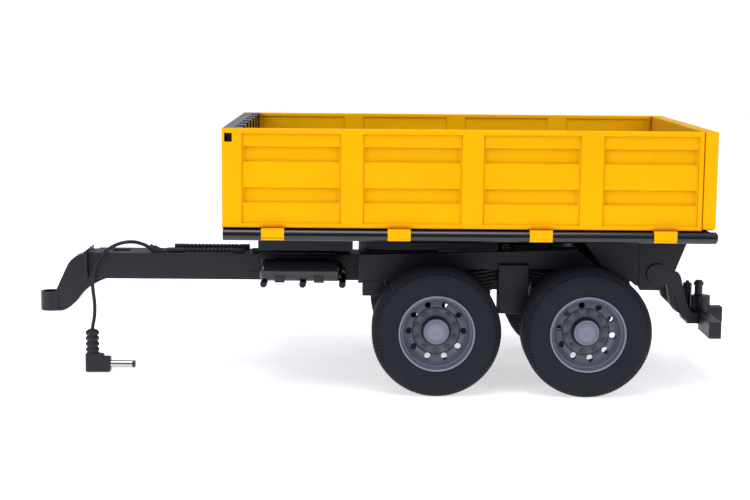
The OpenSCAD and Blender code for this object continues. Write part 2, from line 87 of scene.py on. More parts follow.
class TrailerSizes(bpy.types.PropertyGroup):
    edge_round: FloatProperty(
        name="Edge rounding", description="Radius on the edges of moulded parts",
        default=0.3 * MM, subtype="DISTANCE", unit="LENGTH")
    rim_round: FloatProperty(
        name="Board rounding", description="Radius along the top and ends of the yellow boards",
        default=0.55 * MM, subtype="DISTANCE", unit="LENGTH")
    band_depth: FloatProperty(
        name="Band depth", description="How far the bands of a board lie behind its posts",
        default=0.7 * MM, subtype="DISTANCE", unit="LENGTH")
    groove_depth: FloatProperty(
        name="Groove depth", description="How far the grooves of a board lie behind its posts",
        default=1.75 * MM, subtype="DISTANCE", unit="LENGTH")
    tread_blocks: IntProperty(
        name="Tread blocks", description="Shoulder blocks round one tyre", default=96)
    wheel_nuts: IntProperty(
        name="Wheel nuts", description="Nuts, and hand holes, on one wheel", default=10)
    hose_rib_pitch: FloatProperty(
        name="Hose rib pitch", description="Distance between the ribs of the hoses",
        default=1.8 * MM, subtype="DISTANCE", unit="LENGTH")
    cord_diameter: FloatProperty(
        name="Lead diameter", description="Thickness of the power lead",
        default=1.7 * MM, subtype="DISTANCE", unit="LENGTH")


class TrailerColours(bpy.types.PropertyGroup):
    yellow: FloatVectorProperty(
        name="Yellow", description="Colour of the drop sides and tailgate", subtype="COLOR",
        default=(0.94, 0.465, 0.0))
    # painted shade: the darker yellow that ambient occlusion paints into the grooves, the corners and the
    # inside of the box
    shade_painted_yellow: FloatVectorProperty(
        name="Deep yellow", description="Tone of the yellow in grooves and corners", subtype="COLOR",
        default=(0.60, 0.19, 0.0))
    gloss_black: FloatVectorProperty(
        name="Gloss black", description="Colour of the front wall, tubes and tanks", subtype="COLOR",
        default=(0.007, 0.007, 0.011))
    chassis: FloatVectorProperty(
        name="Chassis", description="Colour of the drawbar and chassis", subtype="COLOR",
        default=(0.0062, 0.0068, 0.0115))
    soft_black: FloatVectorProperty(
        name="Soft black", description="Colour of the hoses, lead and plug", subtype="COLOR",
        default=(0.0065, 0.0075, 0.0125))
    rubber: FloatVectorProperty(
        name="Rubber", description="Colour of the tyres", subtype="COLOR",
        default=(0.009, 0.0102, 0.017))
    rim: FloatVectorProperty(
        name="Rim grey", description="Colour of the rims and hub caps", subtype="COLOR",
        default=(0.19, 0.20, 0.265))
    # painted light: a lighter copy of the rim grey, so that the arm under the box looks lit
    lift: FloatVectorProperty(
        name="Lift grey", description="Colour of the arm that lifts the bed", subtype="COLOR",
        default=(0.34, 0.34, 0.42))
    steel: FloatVectorProperty(
        name="Steel", description="Colour of the rods", subtype="COLOR",
        default=(0.55, 0.55, 0.57))
    plug_metal: FloatVectorProperty(
        name="Plug metal", description="Colour of the plug's sleeve", subtype="COLOR",
        default=(0.50, 0.47, 0.47))


def sizes():
    return bpy.context.scene.trailer_sizes


def colours():
    return bpy.context.scene.trailer_colours


# Materials

def shader(tree, kind, **settings):
    """A node of the given kind, with its properties and its inputs' values set."""
    made = tree.nodes.new(kind)
    for name, value in settings.items():
        if name in made.bl_rna.properties:
            setattr(made, name, value)
        else:
            made.inputs[name.replace("_", " ")].default_value = value
    return made


def noise(tree, scale, detail=3.0, roughness=0.5):
    """Solid noise on the piece's own coordinates. The scale is in features to the metre."""
    place = shader(tree, "ShaderNodeTexCoord")
    made = shader(tree, "ShaderNodeTexNoise", Scale=scale, Detail=detail, Roughness=roughness)
    tree.links.new(place.outputs["Object"], made.inputs["Vector"])
    return made.outputs["Fac"]


def mapped(tree, value, low, high, from_low=0.3, from_high=0.7):
    """The value's usual spread, taken to the range from low to high."""
    made = shader(tree, "ShaderNodeMapRange", clamp=True)
    for socket, number in zip(made.inputs[1:5], (from_low, from_high, low, high)):
        socket.default_value = number
    tree.links.new(value, made.inputs["Value"])
    return made.outputs["Result"]


def tinted(tree, fac, first, second):
    """A colour that goes from first to second with fac."""
    made = shader(tree, "ShaderNodeMix", data_type="RGBA")
    made.inputs["A"].default_value = (*first, 1)
    made.inputs["B"].default_value = (*second, 1)
    tree.links.new(fac, made.inputs["Factor"])
    return made.outputs["Result"]


def with_painted_shade(tree, colour, deep, reach, least):
    """The colour, darkened towards a painted shade tone in hollows and corners within reach (metres) of
    another face, where ambient occlusion finds them.
    """
    for distance, low in zip(reach, least):
        found = shader(tree, "ShaderNodeAmbientOcclusion", samples=8, Distance=distance)
        open_part = mapped(tree, found.outputs["AO"], low, 1, 0.45, 0.95)
        made = shader(tree, "ShaderNodeMix", data_type="RGBA")
        made.inputs["A"].default_value = (*deep, 1)
        tree.links.new(open_part, made.inputs["Factor"])
        tree.links.new(colour, made.inputs["B"])
        colour = made.outputs["Result"]
    return colour


def bumped(tree, heights, surface):
    """Bump nodes in a row, one for each (height, distance in metres, strength), into the surface."""
    last = None
    for height, distance, strength in heights:
        made = shader(tree, "ShaderNodeBump", Strength=strength, Distance=distance)
        tree.links.new(height, made.inputs["Height"])
        if last is not None:
            tree.links.new(last, made.inputs["Normal"])
        last = made.outputs["Normal"]
    tree.links.new(last, surface.inputs["Normal"])


def moulded(name, colour, rough, shade=0.12, grain=2600, grain_depth=0.012, waviness=0.03,
            coat=0.0, specular=0.5, metallic=0.0, painted_hollow_shade=None):
    """Moulded plastic or metal: a slow change of tone, patches of gloss, fine grain, faint sink waves.
    Painted hollow shade is a shade tone painted into hollows and corners, the distances that it reaches over,
    and how little of the colour it leaves."""
    found = bpy.data.materials.get(name)
    if found:
        return found
    material = bpy.data.materials.new(name)
    material.use_nodes = True
    tree = material.node_tree
    surface = tree.nodes["Principled BSDF"]
    surface.inputs["Metallic"].default_value = metallic
    surface.inputs["Specular IOR Level"].default_value = specular
    surface.inputs["Coat Weight"].default_value = coat
    surface.inputs["Coat Roughness"].default_value = 0.12
    darker = tuple(c * (1 - shade) for c in colour)
    lighter = tuple(min(1.0, c * (1 + shade * 0.5)) for c in colour)
    tone = tinted(tree, mapped(tree, noise(tree, 34), 0, 1), darker, lighter)
    # painted shade: ambient occlusion darkens the base colour towards a shade tone in hollows and corners
    if painted_hollow_shade:
        tone = with_painted_shade(tree, tone, *painted_hollow_shade)
    tree.links.new(tone, surface.inputs["Base Color"])
    tree.links.new(mapped(tree, noise(tree, 120, 4), rough[0], rough[1]), surface.inputs["Roughness"])
    bumped(tree, [(noise(tree, 70, 2), waviness * MM, 0.35),
                  (noise(tree, grain, 2), grain_depth * MM, 0.5)], surface)
    return material


def box_yellow():
    # painted shade: ambient occlusion over 50 mm and 6 mm paints the shade yellow into the inside of the box,
    # the grooves and the corners
    return moulded("yellow_plastic", colours().yellow, (0.42, 0.52), shade=0.05, grain=1800,
                   grain_depth=0.004, waviness=0.04, specular=0.08,
                   painted_hollow_shade=(colours().shade_painted_yellow, (50 * MM, 6 * MM), (0.7, 0.0)))


def gloss_black():
    return moulded("gloss_black_plastic", colours().gloss_black, (0.16, 0.24), shade=0.2, grain=1500,
                   grain_depth=0.003, waviness=0.05, specular=0.6)


def chassis_black():
    return moulded("satin_black_plastic", colours().chassis, (0.33, 0.43), shade=0.12, grain=3200,
                   grain_depth=0.010, specular=0.42)


def soft_black():
    return moulded("soft_black_plastic", colours().soft_black, (0.42, 0.55), shade=0.15, grain=3600,
                   grain_depth=0.014, specular=0.35)


def tyre_rubber():
    return moulded("moulded_rubber", colours().rubber, (0.55, 0.68), shade=0.2, grain=2400,
                   grain_depth=0.02, waviness=0.06, specular=0.2)


def rim_grey():
    # painted shade: ambient occlusion over 14 mm and 2 mm paints the chassis black into the rim's bowl, round
    # the nuts and into its corners
    return moulded("rim_grey_plastic", colours().rim, (0.34, 0.44), shade=0.10, grain=2800,
                   grain_depth=0.006, specular=0.5,
                   painted_hollow_shade=(colours().chassis, (14 * MM, 2 * MM), (0.1, 0.15)))


# painted light: this lighter grey makes the lift arm look lit in the shade under the box
def lit_lift_grey():
    return moulded("lift_grey_plastic", colours().lift, (0.34, 0.44), shade=0.10, grain=2800,
                   grain_depth=0.006, specular=0.5)


def steel():
    return moulded("bright_steel", colours().steel, (0.24, 0.36), shade=0.1, grain=4000,
                   grain_depth=0.006, metallic=1.0)


def plug_metal():
    return moulded("plated_metal", colours().plug_metal, (0.10, 0.18), shade=0.06, grain=2000,
                   grain_depth=0.002, waviness=0.01, metallic=1.0)


FINISHES = {
    "box_yellow": box_yellow, "gloss_black": gloss_black, "chassis_black": chassis_black,
    "soft_black": soft_black, "tyre_rubber": tyre_rubber, "rim_grey": rim_grey, "steel": steel,
    "plug_metal": plug_metal,
}
NODE_SLOT = {s["node"]: s["material_slot"] for s in frame["record"]["subparts"]}


# Mesh helpers

def shaded(mesh, sharp_angle=38):
    """Smooth faces, with an edge kept sharp where it turns more than sharp_angle degrees."""
    mesh.polygons.foreach_set("use_smooth", [True] * len(mesh.polygons))
    mesh.set_sharp_from_angle(angle=math.radians(sharp_angle))


def piece(name, mesh, body, slot, stands_for=(), weighted=True):
    """Links a finished mesh as a piece of the trailer that rides on a body and takes a slot's finish."""
    made = bpy.data.objects.new(name, mesh)
    bpy.context.scene.collection.objects.link(made)
    mesh.materials.clear()
    mesh.materials.append(FINISHES[slot]())
    shaded(mesh)
    if weighted:
        normals = made.modifiers.new("normals", "WEIGHTED_NORMAL")
        normals.keep_sharp = True
    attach(made, body)
    if stands_for:
        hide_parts(*stands_for)
    return made


def mesh_from(bm, name):
    mesh = bpy.data.meshes.new(name)
    bm.to_mesh(mesh)
    bm.free()
    return mesh


def mesh_of_faces(points, faces, name="faces"):
    """A mesh of points and faces, its doubles merged and its normals turned outwards."""
    mesh = bpy.data.meshes.new(name)
    mesh.from_pydata([tuple(p) for p in points], [], faces)
    bm = bmesh.new()
    bm.from_mesh(mesh)
    bmesh.ops.remove_doubles(bm, verts=bm.verts, dist=1e-7)
    bmesh.ops.recalc_face_normals(bm, faces=bm.faces)
    bm.to_mesh(mesh)
    bm.free()
    return mesh


def joined(meshes, name):
    """One mesh holding all of these."""
    bm = bmesh.new()
    for mesh in meshes:
        bm.from_mesh(mesh)
    return mesh_from(bm, name)


def moved(mesh, matrix):
    mesh.transform(matrix)
    return mesh


def cad_mesh(node):
    """A bmesh copy of a CAD node, with its loose triangles merged into clean faces."""
    bm = bmesh.new()
    bm.from_mesh(CAD_NODES[node].data)
    bmesh.ops.remove_doubles(bm, verts=bm.verts, dist=2e-6)
    bmesh.ops.dissolve_limit(bm, angle_limit=math.radians(0.5), verts=bm.verts, edges=bm.edges)
    return bm


def round_edges(bm, radius, segments=2, sharper_than=32):
    sharp = [e for e in bm.edges
             if len(e.link_faces) == 2 and e.calc_face_angle(0) > math.radians(sharper_than)]
    bmesh.ops.bevel(bm, geom=sharp, offset=radius, segments=segments, profile=0.5, affect="EDGES",
                    clamp_overlap=True)
    return bm


def rounded_node(node, radius=None, segments=2):
    """A piece that stands for a CAD node: the same shape, with its edges rounded as moulding leaves them."""
    bm = round_edges(cad_mesh(node), sizes().edge_round if radius is None else radius, segments)
    return piece(node + "_moulded", mesh_from(bm, node), CAD_NODES[node]["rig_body"],
                 NODE_SLOT[node], [node])


def block(name, centre, size, radius=0.0, segments=1):
    """A box about its centre, its edges rounded where a radius is given."""
    bm = bmesh.new()
    bmesh.ops.create_cube(bm, size=1)
    bmesh.ops.transform(bm, verts=bm.verts,
                        matrix=Matrix.Translation(centre) @ Matrix.Diagonal((*size, 1)))
    return mesh_from(round_edges(bm, radius, segments) if radius else bm, name)


def revolved(profile, steps, name="revolved"):
    """A closed outline of (radius, along) points turned round the Z axis."""
    turns = np.linspace(0, 2 * math.pi, steps, endpoint=False)
    points = [(r * math.cos(a), r * math.sin(a), z) for a in turns for r, z in profile]
    n = len(profile)
    faces = [(i * n + k, i * n + (k + 1) % n, (i + 1) % steps * n + (k + 1) % n, (i + 1) % steps * n + k)
             for i in range(steps) for k in range(n)]
    return mesh_of_faces(points, faces, name)


def boolean(mesh, cutters, name, operation="DIFFERENCE"):
    """The mesh with the cutters taken away, solved exactly and baked."""
    target = bpy.data.objects.new(name, mesh)
    tool = bpy.data.objects.new(name + "_cutter", cutters)
    for made in (target, tool):
        bpy.context.scene.collection.objects.link(made)
    cut = target.modifiers.new("cut", "BOOLEAN")
    cut.operation, cut.object, cut.solver = operation, tool, "EXACT"
    result = baked(target)
    bpy.data.objects.remove(tool)
    return result


def baked(target):
    """The evaluated mesh of an object, which is then removed."""
    bpy.context.view_layer.update()
    seen = target.evaluated_get(bpy.context.evaluated_depsgraph_get())
    mesh = bpy.data.meshes.new_from_object(seen)
    bpy.data.objects.remove(target)
    return mesh


def eased(t):
    t = np.clip(t, 0, 1)
    return t * t * (3 - 2 * t)


def plateau(v, low, high, slope):
    """1 between low and high and 0 outside, with soft slopes just inside the limits."""
    return eased((v - low) / slope) * eased((high - v) / slope)


# Geometry Nodes

class NodeTree:
    """A small builder for geometry trees: named inputs, nodes, links and a baked result."""

    def __init__(self, name):
        self.tree = bpy.data.node_groups.new(name, "GeometryNodeTree")
        self.inputs = {}
        self.entry = self.tree.nodes.new("NodeGroupInput")
        self.exit = self.tree.nodes.new("NodeGroupOutput")

    def number(self, name, value, kind="NodeSocketFloat"):
        socket = self.tree.interface.new_socket(name, in_out="INPUT", socket_type=kind)
        self.inputs[socket.identifier] = value
        return self.entry.outputs[name]

    def add(self, kind, links=None, **settings):
        made = shader(self.tree, kind, **settings)
        for name, source in (links or {}).items():
            self.tree.links.new(source, made.inputs[name])
        return made.outputs[0]

    def bake(self, geometry, material, name):
        """Realizes the instances, sets the material and returns a plain mesh."""
        self.tree.interface.new_socket("Geometry", in_out="OUTPUT", socket_type="NodeSocketGeometry")
        real = self.add("GeometryNodeRealizeInstances", {"Geometry": geometry})
        dressed = self.add("GeometryNodeSetMaterial", {"Geometry": real}, Material=material)
        self.tree.links.new(dressed, self.exit.inputs["Geometry"])
        carrier = bpy.data.objects.new(name, bpy.data.meshes.new(name))
        bpy.context.scene.collection.objects.link(carrier)
        maker = carrier.modifiers.new("maker", "NODES")
        maker.node_group = self.tree
        for identifier, value in self.inputs.items():
            maker[identifier] = value
        return baked(carrier)


def ring_of_nuts(count, circle, across, height, name):
    """Hexagonal nuts with round tips, on a circle about the Z axis and standing on z = 0."""
    g = NodeTree(name)
    how_many = g.number("Count", count, "NodeSocketInt")
    radius = g.number("Circle radius", circle)
    nut_r = g.number("Nut radius", across / 2)
    nut_h = g.number("Nut height", height)
    ring = g.add("GeometryNodeMeshCircle", {"Vertices": how_many, "Radius": radius})
    boss = g.add("GeometryNodeMeshCylinder", Vertices=24, Radius=1.15 * MM, Depth=0.6 * MM)
    hexagon = g.add("GeometryNodeMeshCylinder", {"Radius": nut_r, "Depth": nut_h}, Vertices=6)
    raised = g.add("GeometryNodeTransform", {"Geometry": hexagon}, Translation=(0, 0, height / 2))
    tip = g.add("GeometryNodeMeshUVSphere", Segments=14, Rings=8, Radius=across * 0.26)
    tip_up = g.add("GeometryNodeTransform", {"Geometry": tip}, Translation=(0, 0, height))
    join = g.tree.nodes.new("GeometryNodeJoinGeometry")
    for part in (tip_up, raised, boss):
        g.tree.links.new(part, join.inputs[0])
    placed = g.add("GeometryNodeInstanceOnPoints", {"Points": ring, "Instance": join.outputs[0]})
    return g.bake(placed, rim_grey(), name)


def hose_ribs(start, end, y, z, radius, pitch, name):
    """Round ribs in a row from start to end along X."""
    g = NodeTree(name)
    count = g.number("Ribs", int(round((end - start) / pitch)), "NodeSocketInt")
    rib_r = g.number("Rib radius", radius)
    spacing = g.tree.nodes.new("ShaderNodeCombineXYZ")
    g.tree.links.new(g.number("Pitch", pitch), spacing.inputs["X"])
    line = g.add("GeometryNodeMeshLine", {"Count": count, "Offset": spacing.outputs[0]},
                 Start_Location=(start + pitch / 2, y, z))
    bead = g.add("GeometryNodeMeshUVSphere", {"Radius": rib_r}, Segments=20, Rings=10)
    turned = g.add("GeometryNodeTransform", {"Geometry": bead}, Rotation=(0, math.pi / 2, 0),
                   Scale=(1, 1, pitch / radius * 0.4))
    placed = g.add("GeometryNodeInstanceOnPoints", {"Points": line, "Instance": turned})
    return g.bake(placed, soft_black(), name)


# Boards with posts, bands and grooves

def grid_lines(length, features, border):
    """Places of the grid's lines: round both ends, and through each (start, end, slope) feature."""
    marks = {0.0, length}
    for d in (0.07, 0.18, 0.38, 0.65, 1.0):
        marks |= {border * d, length - border * d}
    for low, high, slope in features:
        for part in (0, 0.2, 0.4, 0.6, 0.8, 1):
            marks |= {low + slope * part, high - slope * part}
    placed = sorted(m for m in marks if 0 <= m <= length)
    kept = [placed[0]]
    for m in placed[1:]:
        if m - kept[-1] > 0.02 * MM:
            kept.append(m)
    kept[-1] = length
    return np.array(kept)


def board(u_lines, v_lines, thickness, outer, inner, border, holes=()):
    """A closed board in U, V and W: W runs from 0 at the inside to the thickness, and the border is round."""
    u, v = np.meshgrid(u_lines, v_lines, indexing="ij")
    edge = np.minimum(np.minimum(u - u_lines[0], u_lines[-1] - u),
                      np.minimum(v - v_lines[0], v_lines[-1] - v))
    gone = np.clip(1 - edge / border, 0, 1)
    turn = border * (1 - np.sqrt(np.clip(1 - gone * gone, 0, 1)))
    front = thickness - outer(u, v) * (gone == 0) - turn
    back = inner(u, v) * (gone == 0) + turn
    nu, nv = u.shape
    points = [p for w in (front, back) for p in zip(u.ravel(), v.ravel(), w.ravel())]

    def at(side, i, j):
        return side * nu * nv + i * nv + j

    def open_cell(i, j):
        mid_u, mid_v = (u_lines[i] + u_lines[i + 1]) / 2, (v_lines[j] + v_lines[j + 1]) / 2
        return any(a < mid_u < b and c < mid_v < d for (a, b), (c, d) in holes)

    cells = {(i, j) for i in range(nu - 1) for j in range(nv - 1) if not open_cell(i, j)}
    faces = []
    for i, j in cells:
        faces.append((at(0, i, j), at(0, i + 1, j), at(0, i + 1, j + 1), at(0, i, j + 1)))
        faces.append((at(1, i, j), at(1, i, j + 1), at(1, i + 1, j + 1), at(1, i + 1, j)))
        for (di, dj), (a, b) in {(-1, 0): ((0, 0), (0, 1)), (1, 0): ((1, 1), (1, 0)),
                                 (0, -1): ((1, 0), (0, 0)), (0, 1): ((0, 1), (1, 1))}.items():
            if (i + di, j + dj) not in cells:
                p, q = (i + a[0], j + a[1]), (i + b[0], j + b[1])
                faces.append((at(0, *p), at(0, *q), at(1, *q), at(1, *p)))
    return points, faces


BAND_Z = [d * MM for d in (1.8, 10.8, 17.8, 28.7, 35.7, 41.3)]
GROOVES = ((1, 2), (3, 4))
WINDOW_SLOPE = 0.5 * MM
GROOVE_SLOPE = 0.7 * MM
GROOVE_END = 1.4 * MM


def relief(windows):
    """The depth of a board's outside behind its posts, and the features that its grid has to follow."""
    s = sizes()

    def depth(u, v):
        total = np.zeros_like(u)
        for low, high in windows:
            window = plateau(u, low, high, WINDOW_SLOPE) * plateau(v, BAND_Z[0], BAND_Z[-1], WINDOW_SLOPE)
            total = total + s.band_depth * window
            for bottom, top in GROOVES:
                groove = plateau(u, low + WINDOW_SLOPE / 2, high - WINDOW_SLOPE / 2, GROOVE_END) * plateau(
                    v, BAND_Z[bottom], BAND_Z[top], GROOVE_SLOPE)
                total = total + (s.groove_depth - s.band_depth) * groove
        return total

    across = [(low, high, WINDOW_SLOPE) for low, high in windows]
    across += [(low + WINDOW_SLOPE / 2, high - WINDOW_SLOPE / 2, GROOVE_END) for low, high in windows]
    up = [(BAND_Z[0], BAND_Z[-1], WINDOW_SLOPE)]
    up += [(BAND_Z[b], BAND_Z[t], GROOVE_SLOPE) for b, t in GROOVES]
    return depth, across, up


def inside_panels(windows, depth=0.5 * MM, lip=1.6 * MM):
    """Shallow fields on the inside of a board between its posts, under a thin lip along the top."""
    def field(u, v):
        return sum(depth * plateau(u, low, high, WINDOW_SLOPE) * plateau(v, 1.2 * MM, v.max() - lip, 0.6 * MM)
                   for low, high in windows)
    return field


def hinge_clips(node, sill):
    """The clips that hang below a board, taken from the CAD node."""
    bm = cad_mesh(node)
    everything = bm.verts[:] + bm.edges[:] + bm.faces[:]
    bmesh.ops.bisect_plane(bm, geom=everything, plane_co=(0, 0, sill), plane_no=(0, 0, 1), clear_outer=True)
    bmesh.ops.holes_fill(bm, edges=[e for e in bm.edges if e.is_boundary])
    return mesh_from(round_edges(bm, 0.25 * MM), node + "_clips")


def panel_piece(name, node, u_lines, v_lines, thickness, place, outer, inner, holes):
    border = sizes().rim_round
    points, faces = board(u_lines, v_lines, thickness, outer, inner, border, holes)
    shell = mesh_of_faces([place @ Vector(p) for p in points], faces, name)
    sill = place.translation.z
    whole = joined([shell, hinge_clips(node, sill)], name)
    return piece(name, whole, CAD_NODES[node]["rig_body"], "box_yellow", [node])


POST_X = [d * MM for d in (8.5, 52, 61.3, 104.7, 113.7, 156.4, 166, 208)]
GATE_POST_Y = [d * MM for d in (9, 40.5, 48, 87, 94.5, 126)]
GATE_OUTER_X = 216 * MM
SILL_Z = 76.6 * MM
BOARD_H = 43.4 * MM
SIDE_T = 3.5 * MM
GATE_T = 5.9 * MM
GATE_NOTCH = (3.9 * MM, 0.8 * MM)
SNAP_HOLE = ((1.1 * MM, 4.4 * MM), (37.5 * MM, 41.3 * MM))


def build_side_panel(node, side):
    low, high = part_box(node)
    windows = list(zip(POST_X[::2], POST_X[1::2]))
    depth, across, up = relief(windows)
    length = high.x - low.x
    half_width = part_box("tailgate")[1].y
    u_lines = grid_lines(length, across + [(*SNAP_HOLE[0], 0)], sizes().rim_round)
    v_lines = grid_lines(BOARD_H, up + [(*SNAP_HOLE[1], 0), (1.2 * MM, BOARD_H - 1.6 * MM, 0.6 * MM)],
                         sizes().rim_round)
    place = Matrix(((1, 0, 0, low.x), (0, 0, side, side * (half_width - SIDE_T)), (0, 1, 0, SILL_Z),
                    (0, 0, 0, 1)))
    return panel_piece(node + "_board", node, u_lines, v_lines, SIDE_T, place, depth,
                       inside_panels(windows), [SNAP_HOLE])


def build_tailgate():
    low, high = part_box("tailgate")
    width = high.y - low.y
    windows = list(zip(GATE_POST_Y[::2], GATE_POST_Y[1::2]))
    depth, across, up = relief(windows)
    side, height = GATE_NOTCH
    notches = [((0, side), (0, height)), ((width - side, width), (0, height))]
    u_lines = grid_lines(width, across + [(side, width - side, 0)], sizes().rim_round)
    v_lines = grid_lines(BOARD_H, up + [(height, BOARD_H, 0)], sizes().rim_round)
    outer_x = BOX_FRONT + GATE_OUTER_X
    place = Matrix(((0, 0, 1, outer_x - GATE_T), (1, 0, 0, low.y), (0, 1, 0, SILL_Z), (0, 0, 0, 1)))
    return panel_piece("tailgate_board", "tailgate", u_lines, v_lines, GATE_T, place, depth,
                       lambda u, v: np.zeros_like(u), notches)


# Wheels

def wheel_matrix(corner):
    """From the wheel's own axes, with Z outwards, to its place under the trailer."""
    low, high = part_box("tyre_" + corner)
    centre = (low + high) / 2
    side = -1 if "left" in corner else 1
    return Matrix(((-side, 0, 0, centre.x), (0, 0, side, centre.y), (0, 1, 0, centre.z), (0, 0, 0, 1)))


TREAD_RINGS = [y * MM for y in (-6.4, -2.3, 2.3, 6.4)]
RING_DEPTH = 0.9 * MM
SIPE_DEPTH = 0.12 * MM
NOTCH_DEPTH = 0.3 * MM


def tyre_mesh(radius, half, rim, blocks):
    """Smooth side walls with a bead ring and a shoulder line, notched shoulders and a grooved tread."""
    wall = [(rim, half - 0.7 * MM), (rim + 0.2 * MM, half - 0.25 * MM), (rim + 0.7 * MM, half),
            (rim + 1.3 * MM, half - 0.02 * MM), (rim + 1.6 * MM, half - 0.18 * MM),
            (rim + 2.0 * MM, half - 0.18 * MM),
            (rim + 2.4 * MM, half - 0.05 * MM), (rim + 4 * MM, half), (rim + 6 * MM, half),
            (rim + 7.6 * MM, half - 0.06 * MM)]
    wall += [(radius - d * MM, half - c * MM) for d, c in (
        (3.9, 0.1), (3.65, 0.34), (3.3, 0.36), (2.9, 0.34), (2.5, 0.6), (2.0, 1.0), (1.5, 1.5), (1.0, 2.05),
        (0.6, 2.55), (0.25, 3.05), (0.05, 3.5))]
    tread = list(np.linspace(half - 3.9 * MM, 0, 24))
    outline = wall + [(radius, z) for z in tread]
    outline += [(r, -z) for r, z in reversed(outline[:-1])]
    profile = np.array(outline)
    steps = blocks * 6
    turns = np.linspace(0, 2 * math.pi, steps, endpoint=False)
    n = len(profile)
    phase = (np.arange(steps) / 6 % 1)[:, None]
    radial, z = profile[:, 0][None, :], profile[:, 1][None, :]
    on_shoulder = plateau(radial, radius - 3.0 * MM, radius - 0.9 * MM, 0.5 * MM)
    notches = (phase < 0.34) * on_shoulder
    rings = np.zeros((steps, n))
    for middle in TREAD_RINGS:
        rings = np.maximum(rings, 1 - eased((np.abs(z - middle) - 0.35 * MM) / (0.3 * MM)) + 0 * phase)
    rings = rings * (radial > radius - 0.01 * MM)
    sipes = (phase > 0.8) * (np.abs(z) < 6 * MM) * (radial > radius - 0.01 * MM) * (1 - rings)
    deep = RING_DEPTH * rings + SIPE_DEPTH * sipes
    r = radial - deep - NOTCH_DEPTH * notches
    c = z - np.sign(z) * NOTCH_DEPTH * notches
    points = np.stack([r * np.cos(turns)[:, None], r * np.sin(turns)[:, None], c], 2).reshape(-1, 3)
    faces = [(i * n + k, i * n + (k + 1) % n, (i + 1) % steps * n + (k + 1) % n, (i + 1) % steps * n + k)
             for i in range(steps) for k in range(n)]
    return mesh_of_faces(points, faces, "tyre")


HAND_HOLE_R = 1.42 * MM
HAND_HOLE_CIRCLE = 12.2 * MM


def rim_mesh(lip_r, half, nuts):
    """Lip, step, bowl with hand holes, barrel and hub of one rim."""
    outline = [(17.2, -1.0), (17.15, -0.2), (16.95, 0), (16.55, 0), (16.3, -0.2), (16.2, -0.9), (16.1, -2.3),
               (15.9, -2.6), (15.2, -2.75), (15.0, -3.0), (14.9, -3.7), (14.7, -4.9), (14.25, -6.3),
               (13.5, -7.5), (12.5, -8.4), (11.4, -8.95), (10.7, -9.1), (10.45, -8.85), (10.2, -8.75),
               (6.6, -8.75), (6.3, -9.0), (1.8, -9.0), (1.8, -9.4), (1.8, -21.9), (4.2, -21.9), (4.6, -21.5),
               (4.6, -11.4), (12.2, -11.2), (14.2, -10.2), (15.5, -8.4), (15.9, -11.5), (15.8, -22.1),
               (16.0, -22.4), (17.0, -22.4), (17.2, -22.2)]
    scale = lip_r / (17.2 * MM)
    shell = revolved([(r * MM * scale, half + z * MM) for r, z in outline], 128, "rim")
    holes = []
    for i in range(nuts):
        turn = Matrix.Rotation(2 * math.pi * i / nuts, 4, "Z")
        bm = bmesh.new()
        bmesh.ops.create_cone(bm, cap_ends=True, segments=28, radius1=HAND_HOLE_R, radius2=HAND_HOLE_R,
                              depth=12 * MM)
        place = Matrix.Translation((HAND_HOLE_CIRCLE, 0, half - 8 * MM))
        bmesh.ops.transform(bm, matrix=turn @ place, verts=bm.verts)
        holes.append(mesh_from(bm, "hole"))
    return boolean(shell, joined(holes, "holes"), "rim")


def hub_cap_mesh(half):
    outline = [(0, -8.75), (5.95, -8.75), (5.95, -5.75), (5.85, -5.4), (5.6, -5.15), (5.35, -5.05),
               (5.1, -5.1), (4.95, -5.22), (4.75, -5.22), (4.6, -5.1), (3.0, -5.0), (1.2, -4.98),
               (0.9, -5.1), (0, -5.12)]
    return revolved([(max(r, 1e-5) * MM, half + z * MM) for r, z in outline], 96, "hub_cap")


def build_wheels():
    low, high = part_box("tyre_front_left")
    radius, half = (high.z - low.z) / 2, (high.y - low.y) / 2
    rim_low, rim_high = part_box("rim_front_left")
    lip = (rim_high.z - rim_low.z) / 2
    count = sizes().wheel_nuts
    tyre = tyre_mesh(radius, half, lip, sizes().tread_blocks)
    rim = rim_mesh(lip, half, count)
    nuts = ring_of_nuts(count, circle=8.9 * MM, across=1.5 * MM, height=0.8 * MM, name="wheel_nuts")
    half_step = Matrix.Rotation(math.pi / count, 4, "Z")
    moved(nuts, Matrix.Translation((0, 0, half - 8.85 * MM)) @ half_step)
    cap = hub_cap_mesh(half)
    start_angle = {"front": 0.0, "rear": math.radians(-8)}
    for corner in ("front_left", "front_right", "rear_left", "rear_right"):
        place = wheel_matrix(corner) @ Matrix.Rotation(start_angle[corner.split("_")[0]], 4, "Z")
        body = "wheel_" + corner
        piece("tyre_treaded_" + corner, moved(tyre.copy(), place), body, "tyre_rubber", ["tyre_" + corner],
              weighted=False)
        piece("rim_dished_" + corner, moved(rim.copy(), place), body, "rim_grey", ["rim_" + corner])
        piece("nuts_" + corner, moved(nuts.copy(), place), body, "rim_grey", weighted=False)
        piece("cap_" + corner, moved(cap.copy(), place), body, "rim_grey", ["hub_cap_" + corner])


# Power lead

CORD_ROUTE = [
    (-110.7, -5, 58.9), (-113.6, -5.2, 60.4), (-117.7, -6.2, 61.7), (-121.8, -7.5, 61.8), (-125.7, -9, 60.9),
    (-129.2, -10.2, 59.1), (-132.1, -11.2, 56.6), (-134.3, -11.9, 53.5), (-135.9, -12.4, 49.8),
    (-136.9, -12.5, 46), (-137.1, -12.4, 42), (-136.8, -12.2, 38), (-136.4, -12, 34),
    (-136.3, -12, 30), (-136.6, -12, 26), (-137.2, -12, 23), (-137.6, -12, 20.5),
]


